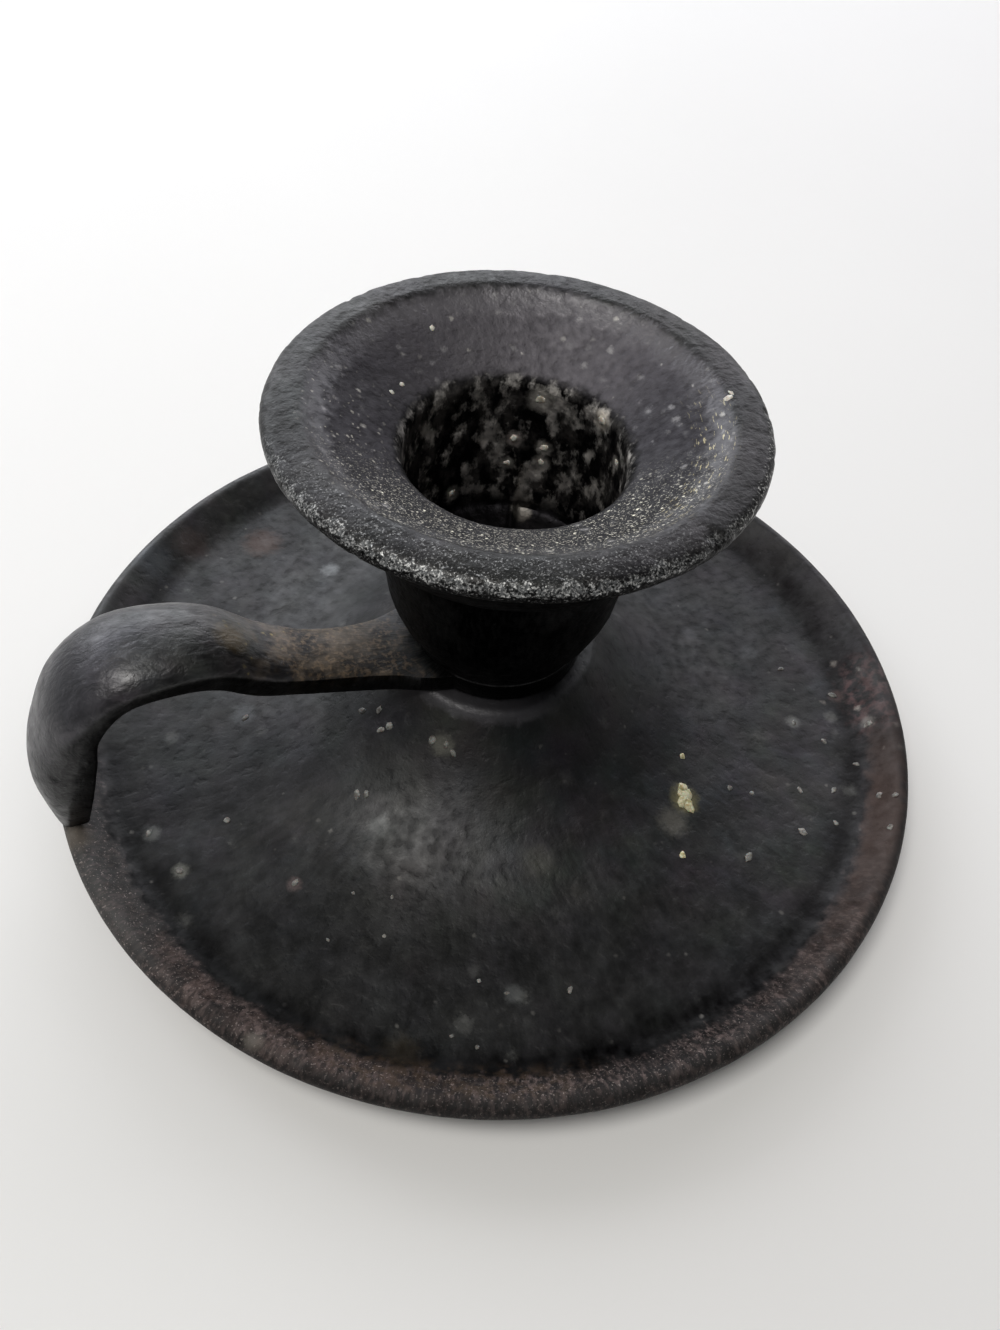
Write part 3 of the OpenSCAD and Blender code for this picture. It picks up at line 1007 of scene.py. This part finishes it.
@dataclass
class Studio:
    """A pale table, soft light from above and behind, and the camera."""

    eye: Point = (-36.775, -73.880, 108.961)
    right: Point = (0.92408572, -0.3755219, 0.07105547)
    down: Point = (-0.24739656, -0.72946155, -0.63771529)
    lens: float = 28.42
    table_half: float = 3000.0
    window_side: Point = (-0.1, 0.86, 0.5)
    room_dim: float = 0.04
    room_bright: float = 0.52
    ceiling_share: float = 0.3

    def camera(self) -> None:
        """Sets up the camera from the photograph's fitted view."""
        data = bpy.data.cameras.new("view")
        data.sensor_width = 36.0
        data.sensor_fit = "AUTO"
        data.lens = self.lens
        data.clip_start = 0.001
        data.clip_end = 20.0
        shot = bpy.data.objects.new("view", data)
        right, up = Vector(self.right).normalized(), -Vector(self.down).normalized()
        back = right.cross(up)
        shot.matrix_world = self.pose(right, up, back, Vector(self.eye) * MM)
        bpy.context.scene.collection.objects.link(shot)
        bpy.context.scene.camera = shot

    @staticmethod
    def pose(x: Vector, y: Vector, z: Vector, place: Vector) -> "bpy.types.Matrix":
        """Matrix with the given axes and place."""
        from mathutils import Matrix
        turn = Matrix((x, y, z)).transposed().to_4x4()
        turn.translation = place
        return turn

    def lamp(self, name: str, place: Point, size: tuple[float, float], power: float, colour: str) -> None:
        """Adds a soft area lamp that points at the object.

        Args:
            name: Name of the lamp.
            place: Its place in millimetres.
            size: Its width and height in millimetres.
            power: Its power in watts.
            colour: Its hex colour.
        """
        data = bpy.data.lights.new(name, "AREA")
        data.shape = "RECTANGLE"
        data.size, data.size_y = size[0] * MM, size[1] * MM
        data.energy = power
        data.color = linear(colour)[:3]
        lamp = bpy.data.objects.new(name, data)
        lamp.location = Vector(place) * MM
        lamp.rotation_euler = (Vector((0, 0, 20)) - Vector(place)).to_track_quat("-Z", "Y").to_euler()
        bpy.context.scene.collection.objects.link(lamp)

    def table(self) -> None:
        """Adds the pale table top, which isn't part of the object."""
        piece = Piece("table")
        half = self.table_half
        corners = [piece.mesh.verts.new((x, y, 0)) for x, y in ((-half, -half), (half, -half), (half, half),
                                                                (-half, half))]
        piece.mesh.faces.new(corners)
        made = piece.make()
        g = Graph(bpy.data.materials.new("matt_white_board"))
        mm = g.add("VectorMath", {0: g.add("TexCoord", out="Object"), 1: (1 / MM,) * 3}, operation="MULTIPLY")
        cloud = g.add("TexNoise", {"Vector": mm, "Scale": 0.01, "Detail": 3.0})
        colour = g.add("Mix", {0: cloud, 6: linear("#edecea"), 7: linear("#f1f0ee")}, out=2, data_type="RGBA")
        surface = g.add("BsdfPrincipled", {"Base Color": colour, "Roughness": 0.6})
        g.add("OutputMaterial", {"Surface": surface})
        made.data.materials.append(g.owner)

    def room(self) -> None:
        """Adds the room's soft light: bright from the window's side, dim in front and from the ceiling."""
        g = Graph(bpy.data.worlds.new("room"))
        aim = g.add("TexCoord", out="Generated")
        facing = g.add("VectorMath", {0: aim, 1: self.window_side}, out="Value", operation="DOT_PRODUCT")
        walls = g.add("MapRange", {0: facing, 1: -0.7, 2: 1.0, 3: self.room_dim, 4: self.room_bright})
        rise = g.add("SeparateXYZ", {0: aim}, out="Z")
        ceiling = g.add("MapRange", {0: rise, 1: 0.55, 2: 0.95, 3: 1.0, 4: self.ceiling_share},
                        interpolation_type="SMOOTHSTEP")
        strength = g.add("Math", {0: walls, 1: ceiling}, operation="MULTIPLY")
        light = g.add("Background", {"Color": linear("#f4f5f6"), "Strength": strength})
        g.add("OutputWorld", {"Surface": light})
        bpy.context.scene.world = g.owner

    def build(self) -> None:
        """Sets the whole studio."""
        self.camera()
        self.table()
        self.lamp("overhead", (-225, -70, 620), (260, 230), 2.25, "#fffdf9")
        self.lamp("window", (-60, 700, 390), (1000, 400), 4.5, "#f6f9ff")
        self.lamp("fill", (600, 480, 400), (500, 400), 1.6, "#faf8ff")
        self.room()
        bpy.context.scene.view_settings.view_transform = "Standard"
        bpy.context.scene.view_settings.look = "None"


WAX_ON_PAN = (
    ((16.1, -21.3, 5.3), 0.7), ((15.9, -22.0, 5.2), 0.9), ((15.5, -22.7, 5.2), 0.9), ((15.8, -23.5, 5.1), 0.8),
    ((17.97, -17.5, 5.9), 0.4), ((12.18, -28.9, 4.6), 0.4),
)
GRIT_ON_PAN = (
    ((-17.24, -1.50, 10.14), 0.45), ((-15.58, -2.87, 11.33), 0.39), ((-15.17, -5.29, 11.14), 0.49),
    ((-16.07, -5.08, 10.50), 0.43), ((-11.46, -9.47, 12.21), 0.49), ((-10.23, -10.69, 12.28), 0.39),
    ((-9.75, -11.71, 11.87), 0.39), ((-20.63, -10.13, 6.75), 0.49), ((-19.72, -10.64, 7.02), 0.39),
    ((27.54, -30.81, 3.81), 0.52), ((19.61, -31.54, 3.90), 0.56), ((22.07, -22.73, 4.36), 0.39),
    ((30.43, -25.62, 3.83), 0.36), ((34.48, -27.03, 3.80), 0.39), ((38.10, -30.30, 5.60), 0.43),
    ((39.07, -31.47, 6.81), 0.36), ((35.88, -34.93, 6.75), 0.39), ((32.04, -31.10, 3.80), 0.33),
    ((24.42, -24.12, 4.07), 0.33), ((35.30, -16.60, 3.84), 0.36), ((38.55, -8.25, 3.83), 0.39),
    ((37.46, -20.31, 3.80), 0.36), ((39.24, -24.76, 3.96), 0.36), ((-41.3, -11.3, 3.80), 0.49),
    ((-29.94, -17.18, 4.06), 0.39), ((-24.41, -20.63, 4.32), 0.20), ((-20.62, -22.62, 4.52), 0.20),
    ((-28.43, -24.74, 3.88), 0.20), ((-22.77, -26.42, 4.03), 0.20), ((-15.07, -34.52, 3.88), 0.22),
    ((-17.74, -40.82, 3.80), 0.22), ((-19.70, -38.90, 3.80), 0.22), ((-12.81, -36.73, 3.85), 0.22),
    ((-6.50, -38.73, 3.84), 0.33), ((-29.82, 6.19, 4.55), 0.43), ((-35.04, -6.84, 3.98), 0.39),
    ((-43.51, -5.50, 3.80), 0.36), ((42.70, -14.30, 3.80), 0.49), ((43.49, -20.60, 5.12), 0.49),
)
WAX_IN_SOCKET = (
    ((6.82, 9.01, 41.5), 0.5), ((4.71, 10.27, 35.99), 0.45), ((4.24, 10.48, 32.57), 0.4), ((7.59, 8.37, 35.4), 0.45),
    ((7.5, 8.46, 33.2), 0.4), ((10.94, 2.84, 42.4), 0.5), ((11.27, -0.8, 39.7), 0.4), ((-2.03, 11.12, 29.1), 0.4),
    ((19.86, -5.10, 48.82), 0.4), ((20.3, -4.6, 48.9), 0.3), ((-2.76, 16.96, 46.93), 0.3),
    ((-9.39, 10.19, 45.02), 0.26), ((-7.99, 11.23, 44.97), 0.26),
)


def iron_finishes() -> dict[Slot, bpy.types.Material]:
    """Makes the materials of the three castings.

    Returns:
        One material for each casting's slot.
    """
    # The pan's finish holds stains and wear, and also painted shade, painted shadows and a painted highlight.
    pan = SandCastIron(
        name="sand_cast_iron_blacked_pan_and_painted_light",
        skin="#0a0a0a", worn="#171618", streak="#232325", streak_mm=(1.1, 2.6), sand_height=0.04, grain_height=0.018,
        streak_height=0.01, fleck=0.75, bare=0.06, warp=2.0, warp_mm=5.0, roughness=0.49, mottle_mm=4.5,
        film=1.7, film_mm=6.0, calm=(15.0, 34.0),
        zones=(
            # Painted shade: the front of the pan's floor is made near black.
            Zone("#040404", 0.8, 30, 47.5, soft=5, azimuth=-120, half_turn=46, blend=35, metallic=0.35),
            # Painted shade on the floor at the front-left, beside the handle's root.
            Zone("#090909", 0.6, 16, 31, soft=4, azimuth=-146, half_turn=25, blend=20, metallic=0.2),
            # Painted shade: the back-right of the floor is darkened and dulled against the window's reflection.
            Zone("#0a0a0b", 0.5, 13, 44, soft=4, azimuth=40, half_turn=50, blend=35, metallic=0.2, dull=0.2),
            # Painted shade over the hub's shoulder on the right, beside the socket's foot.
            Zone("#050505", 0.7, 9.0, 14.5, azimuth=35, half_turn=60, metallic=0.25),
            # Painted highlight: a pale crescent on the hub's shoulder at the front-left.
            Zone("#5b595d", 0.7, 9.6, 12.3, soft=0.4, azimuth=-122, half_turn=28, blend=22, dull=-0.08),
            # Painted shadow: near-black bands inside the rim at the front-left and at the right.
            Zone("#030303", 0.85, 44.6, 48.8, soft=2.0, azimuth=-135, half_turn=60, blend=30, metallic=0.3),
            Zone("#060505", 0.85, 44.6, 48.8, soft=2.0, azimuth=-30, half_turn=60, blend=30, metallic=0.35),
            # Painted shade: the back-left of the floor is darkened against the window's reflection.
            Zone("#0c0c0d", 0.6, 14, 47, soft=3, azimuth=115, half_turn=60, blend=35, metallic=0.25),
            Zone("#1d1a1b", 0.6, 46.5, 53, soft=1.5, azimuth=15, half_turn=60, blend=30, metallic=0.3),
            Zone("#2a2524", 0.9, 48.0, 53, soft=0.7, azimuth=-103, half_turn=77, blend=16, ragged=0.9,
                 metallic=0.1, dull=0.25),
            Zone("#7d6861", 0.55, 47.9, 51.6, soft=0.8, azimuth=-142, half_turn=16, ragged=1.0,
                 pattern=Pattern.BLOTCHES, pattern_mm=2.4, stretch=1.0, cover=0.6, crisp=0.14),
            Zone("#57463f", 0.5, 47.8, 51.0, soft=0.8, azimuth=-51, half_turn=18, blend=12, ragged=1.0),
            Zone("#0c0a0a", 0.6, 47.9, 53, soft=0.7, azimuth=-130, half_turn=60, blend=30, ragged=1.4,
                 pattern=Pattern.STREAKS, pattern_mm=0.42, stretch=4.5, cover=0.45, crisp=0.1),
            Zone("#94817c", 0.5, 47.7, 53, soft=0.7, azimuth=-124, half_turn=55, blend=28, ragged=1.4,
                 pattern=Pattern.STREAKS, pattern_mm=0.36, stretch=4.5, cover=0.36, crisp=0.1),
            Zone("#151313", 0.65, 47.6, 53, soft=0.8, azimuth=-118, half_turn=62, ragged=1.0,
                 pattern=Pattern.BLOTCHES, pattern_mm=3.0, stretch=1.0, cover=0.5, crisp=0.12),
            Zone("#474746", 0.6, 47.6, 53, soft=0.7, azimuth=-168, half_turn=12, blend=6, ragged=1.2),
            Zone("#5d4b3a", 0.5, 46.8, 50.5, soft=1.0, azimuth=-118, half_turn=10, ragged=1.0,
                 pattern=Pattern.BLOTCHES, pattern_mm=1.2, stretch=1.0, cover=0.45, crisp=0.1),
            # Pale grains on the rim's front, partly the rim's own colour and partly painted glints.
            Zone("#d9c9c2", 0.45, 47.8, 53, soft=0.6, azimuth=-130, half_turn=50, blend=30, ragged=1.2,
                 pattern=Pattern.BLOTCHES, pattern_mm=0.26, stretch=1.0, cover=0.08, crisp=0.06),
            Zone("#5d4442", 0.45, 46.5, 52.0, soft=1.2, azimuth=-20, half_turn=5, blend=4, ragged=1.5,
                 pattern=Pattern.BLOTCHES, pattern_mm=1.1, stretch=1.0, cover=0.4, crisp=0.14, detail=2.0),
            Zone("#9a928a", 0.6, 42.0, 51.5, soft=1.5, azimuth=-21, half_turn=8, blend=6,
                 pattern=Pattern.SPECKS, pattern_mm=1.6, cover=0.3, crisp=0.09, torn=0.7),
            # Painted shade on the rim's outer edge at the front.
            Zone("#0e0b0a", 0.65, 50.6, 53, soft=0.6, azimuth=-112, half_turn=28, blend=25, metallic=0.2),
            Zone("#7a7a76", 0.3, 14, 47, pattern=Pattern.SPECKS, pattern_mm=3.4, cover=0.25, crisp=0.085, torn=0.6),
            Zone("#8f8c86", 0.35, 14, 48, pattern=Pattern.SPECKS, pattern_mm=0.9, cover=0.05, crisp=0.07, torn=0.6),
            Zone("#242323", 0.4, 48.0, 53, soft=0.9, azimuth=100, half_turn=70),
        ),
        blots=(
            Blot((-20.37, 36.11, 3.81), 2.6, "#3f2a1f", 0.6), Blot((-29.77, 37.74, 5.08), 2.4, "#463733", 0.4),
            Blot((-35.08, 35.03, 6.33), 2.6, "#434a52", 0.3), Blot((-25.2, -38.9, 3.94), 2.0, "#3f3628", 0.3),
            Blot((-38.25, -33.69, 6.98), 1.0, "#8a837a", 0.4), Blot((-13.06, 27.31, 4.2), 1.3, "#5f6162", 0.8),
            Blot((-29.83, 6.78, 4.1), 1.5, "#505254", 0.6), Blot((-10.5, -10.4, 12.1), 1.3, "#5c5b52", 0.8),
            Blot((-50.72, -5.30, 6.98), 1.8, "#6b6257", 0.6), Blot((-41.19, -11.4, 3.9), 0.9, "#6f6f68", 0.7),
            Blot((-43.19, -5.68, 3.9), 0.9, "#6a6b68", 0.6), Blot((-30.09, -17.3, 4.5), 0.9, "#6a5a58", 0.6),
            Blot((-19.41, -14.43, 6.0), 1.2, "#5b5d5c", 0.5), Blot((-12.17, -37.08, 3.8), 1.0, "#5b5d5c", 0.5),
            Blot((29.12, 0.6, 4.5), 1.2, "#434446", 0.6), Blot((35.85, -4.47, 4.0), 1.2, "#434446", 0.6),
            Blot((35.27, -16.41, 3.8), 0.9, "#6f6f6c", 0.7), Blot((40.44, -17.3, 3.9), 0.9, "#5f5f5c", 0.6),
            Blot((43.08, -14.7, 3.9), 1.0, "#54423f", 0.6), Blot((48.41, -14.36, 5.0), 1.0, "#8a857b", 0.7),
            Blot((43.79, -20.3, 5.0), 0.9, "#6c6863", 0.6), Blot((-4.17, -24.53, 5.6), 1.8, "#3a3a33", 0.6),
            Blot((15.6, -22.6, 5.2), 1.7, "#7d7652", 0.8), Blot((12.9, -24.9, 4.9), 1.8, "#66635b", 0.6),
        ),
    )
    # The handle's finish holds crust and stains, and also painted shade and a painted highlight.
    handle = SandCastIron(
        name="sand_cast_iron_handled_grip_and_painted_light",
        skin="#0e0e10", worn="#201f21", streak="#2f2e31", roughness=0.42, grain_height=0.02,
        sand_mm=1.2, sand_height=0.05, streak_height=0.06, streak_mm=(0.5, 2.6), warp=2.5, polish=0.12,
        zones=(
            Zone("#151312", 0.85, 12, 25, soft=3, low=18.4, ragged=1.5, azimuth=180, half_turn=40, metallic=0.2,
                 dull=0.3),
            Zone("#6b5f51", 0.65, 12, 29, soft=2, low=18.6, ragged=1.5, azimuth=180, half_turn=40,
                 pattern=Pattern.BLOTCHES, pattern_mm=3.6, stretch=1.0, cover=0.5, crisp=0.12, detail=3.0),
            Zone("#9d8468", 0.3, 12, 26, soft=2, low=18.6, ragged=1.5, azimuth=180, half_turn=40,
                 pattern=Pattern.BLOTCHES, pattern_mm=0.6, stretch=1.0, cover=0.35, crisp=0.08),
            Zone("#0b0a09", 0.6, 12, 26, soft=2, low=18.6, ragged=1.5, azimuth=180, half_turn=40,
                 pattern=Pattern.BLOTCHES, pattern_mm=2.0, stretch=1.0, cover=0.2, crisp=0.12, detail=3.0),
            Zone("#a08f58", 0.7, 23, 30, soft=2, low=19.2, ragged=1.5, azimuth=180, half_turn=40,
                 pattern=Pattern.SPECKS, pattern_mm=0.75, cover=0.45, crisp=0.07, torn=0.8),
            # Painted highlight: a lighter bluish grey sheen on the strap's bend and outer leg.
            Zone("#343338", 0.6, 43.0, 60, soft=2.0, low=14, high=40, rise=2, azimuth=180, half_turn=40),
            # Painted shade: the strap's side faces are made near black.
            Zone("#030303", 0.9, 0, 60, low=-1, high=60, faces=Faces.SIDES, metallic=0.5),
            # Painted shadow: the eye under the socket's foot is made near black.
            Zone("#030303", 0.9, -5, 11.2, low=14, high=18.75, metallic=0.5),
        ),
        blots=(
            Blot((-30.19, -0.97, 27.44), 1.8, "#57461f", 0.5), Blot((-17.53, 1.02, 20.17), 3.0, "#5a5044", 0.5),
        ),
    )
    # The socket's finish holds wax and wear, and also painted shade, painted highlights and painted glints.
    socket = SandCastIron(
        name="sand_cast_iron_waxed_socket_and_painted_light",
        skin="#161617", worn="#2a292b", streak="#363538", streak_mm=(1.1, 1.2), gloss=0.6,
        grain_mm=0.35, grain_height=0.045, sand_mm=0.9, sand_height=0.09, streak_height=0.015, fleck=0.5, bare=0.1,
        zones=(
            # Painted shade: the cup's outside below the lip is made near black.
            Zone("#010101", 0.98, 0, 23.2, low=17, high=47.6, rise=0.6, dull=0.2, metallic=0.6),
            Zone("#444246", 0.75, 12.0, 20.3, low=43, faces=Faces.TOPS, soft=0.5),
            # Painted light: the dish's back wall is lighter.
            Zone("#656266", 0.8, 12.0, 20.3, low=42, faces=Faces.TOPS, soft=0.8, azimuth=64, half_turn=45, blend=35),
            # Painted shade: the dish's front is darker.
            Zone("#2f2f30", 0.75, 12.0, 20.3, low=42, faces=Faces.TOPS, soft=0.8, azimuth=-108, half_turn=62, blend=30,
                 metallic=0.2),
            # Painted glints: pale and white specks on the dish's front and left, and a yellowish painted highlight arc
            # along the crease at the right.
            Zone("#e6e1d2", 0.85, 12.2, 20.2, low=42, faces=Faces.TOPS, soft=0.5, azimuth=-110, half_turn=55, blend=30,
                 pattern=Pattern.BLOTCHES, pattern_mm=0.22, stretch=1.0, cover=0.17, crisp=0.05),
            Zone("#fffbe9", 0.95, 12.2, 20.0, low=42, faces=Faces.TOPS, soft=0.6, azimuth=-112, half_turn=60, blend=25,
                 pattern=Pattern.SPECKS, pattern_mm=0.45, cover=0.2, crisp=0.05, torn=0.6),
            Zone("#c9bd96", 0.7, 17.0, 20.5, low=42, faces=Faces.TOPS, soft=1.0, azimuth=-45, half_turn=26, blend=20,
                 pattern=Pattern.STREAKS, pattern_mm=3.0, stretch=0.08, cover=0.12, crisp=0.03),
            Zone("#c4c0b4", 0.7, 13.0, 21.0, low=42, faces=Faces.TOPS, soft=1.0, azimuth=-165, half_turn=40, blend=30,
                 pattern=Pattern.SPECKS, pattern_mm=0.5, cover=0.25, torn=2.0),
            Zone("#a09e9e", 0.6, 12.5, 20.6, low=42, faces=Faces.TOPS, pattern=Pattern.SPECKS, pattern_mm=1.5,
                 cover=0.5, crisp=0.08, torn=0.9),
            Zone("#c9c6bf", 0.5, 12.5, 20.6, low=42, faces=Faces.TOPS, pattern=Pattern.SPECKS, pattern_mm=0.9,
                 cover=0.16, crisp=0.07, torn=0.9),
            Zone("#141211", 0.68, 20.4, 26, low=45, soft=0.4, metallic=0.25),
            # Painted shade: the front of the lip's roll below its top is made near black.
            Zone("#060607", 0.9, 22.9, 26, low=45, high=48.1, rise=0.3, soft=0.3, azimuth=-110, half_turn=80,
                 metallic=0.3),
            # Painted highlight: a pale band along the top of the lip's roll at the front, broken by dark blotches and
            # white grains.
            Zone("#77797a", 0.75, 23.1, 26, low=48.15, high=48.75, rise=0.15, soft=0.4, azimuth=-122,
                 half_turn=45, blend=25, ragged=0.9, metallic=0.1),
            Zone("#060607", 0.9, 22.6, 26, low=47.5, high=48.9, soft=0.3, azimuth=-115, half_turn=75, metallic=0.3,
                 pattern=Pattern.BLOTCHES, pattern_mm=0.32, stretch=1.0, cover=0.5, crisp=0.05),
            Zone("#dededc", 0.85, 22.9, 26, low=48.1, high=48.8, rise=0.15, soft=0.3, azimuth=-122,
                 half_turn=45, blend=25, ragged=0.9, pattern=Pattern.BLOTCHES, pattern_mm=0.2, stretch=1.0,
                 cover=0.3, crisp=0.07),
            # Painted highlight: pale flecks on the lip's edge at the front-right.
            Zone("#e4e4e0", 0.8, 23.3, 26, low=47.9, high=48.9, rise=0.2, soft=0.3, azimuth=-42, half_turn=16,
                 blend=12, ragged=0.9, pattern=Pattern.BLOTCHES, pattern_mm=0.3, stretch=1.0, cover=0.2, crisp=0.08),
            # Painted glints: pale grains on the lip at the front-left.
            Zone("#b9b9b8", 0.5, 21.0, 26, low=46.5, soft=0.4, azimuth=-122, half_turn=40, blend=25,
                 pattern=Pattern.BLOTCHES, pattern_mm=0.2, stretch=1.0, cover=0.17, crisp=0.06),
            Zone("#1f1e20", 0.97, -5, 11.9, low=25.4, high=42.6, soft=0.4, rise=0.3, metallic=0.3, dull=-0.15),
            Zone("#8a8683", 0.6, -5, 11.9, low=27.4, high=43.4, soft=0.4, rise=0.8, pattern=Pattern.BLOTCHES,
                 pattern_mm=2.0, stretch=1.5, cover=0.36, crisp=0.12),
            Zone("#fffaf4", 1.0, -5, 11.9, low=28, high=43.4, soft=0.4, rise=1.2, pattern=Pattern.BLOTCHES,
                 pattern_mm=2.1, stretch=1.5, cover=0.27, crisp=0.08),
        ),
        blots=(
            Blot((6.82, 9.01, 41.5), 1.4, "#fffaf2", 1.0), Blot((4.71, 10.27, 35.99), 0.9, "#fff4ee", 1.0),
            Blot((4.24, 10.48, 32.57), 0.9, "#fffaf2", 0.8), Blot((7.59, 8.37, 35.4), 1.0, "#fffaf2", 0.8),
            Blot((7.5, 8.46, 33.2), 1.0, "#fffaf2", 0.7), Blot((10.94, 2.84, 42.4), 1.1, "#fff6e8", 0.9),
            Blot((-2.03, 11.12, 29.1), 1.0, "#fffaf2", 0.7), Blot((-6.03, 9.55, 39.9), 0.8, "#fffaf2", 0.6),
            Blot((5.65, 8.59, 26.1), 1.2, "#8e8a84", 0.6), Blot((11.27, -0.78, 39.7), 0.7, "#fffaf2", 0.7),
        ),
    )
    return {Slot.PAN: pan.make(), Slot.HANDLE: handle.make(), Slot.SOCKET: socket.make()}


def main() -> None:
    """Builds the chamberstick and its studio, and reports each piece."""
    logging.basicConfig(level=logging.INFO, format="%(name)s: %(message)s")
    iron = iron_finishes()
    steel = AgedSteel().make()
    wax = Residue("old_candle_wax", "#e4dfd4", "#a9a294").make()
    smear = Residue("old_yellow_wax", "#e6dfbd", "#b0a472").make()
    grit = Residue("pale_grit", "#8d8b86", "#55524d", 0.6).make()
    pan = DripPan().build(iron[Slot.PAN])
    StrapHandle().build(iron[Slot.HANDLE])
    socket = CandleSocket().build(iron[Slot.SOCKET])
    BaseFixing().build(steel)
    Crumbs("wax_on_pan", Slot.PAN, WAX_ON_PAN, 0.25, 3).build(pan, smear)
    Crumbs("grit_on_pan", Slot.PAN, GRIT_ON_PAN, 0.28, 5).build(pan, grit)
    Crumbs("wax_in_socket", Slot.SOCKET, WAX_IN_SOCKET, 0.25, 7).build(socket, wax)
    Studio().build()


if __name__ == "__main__":
    main()
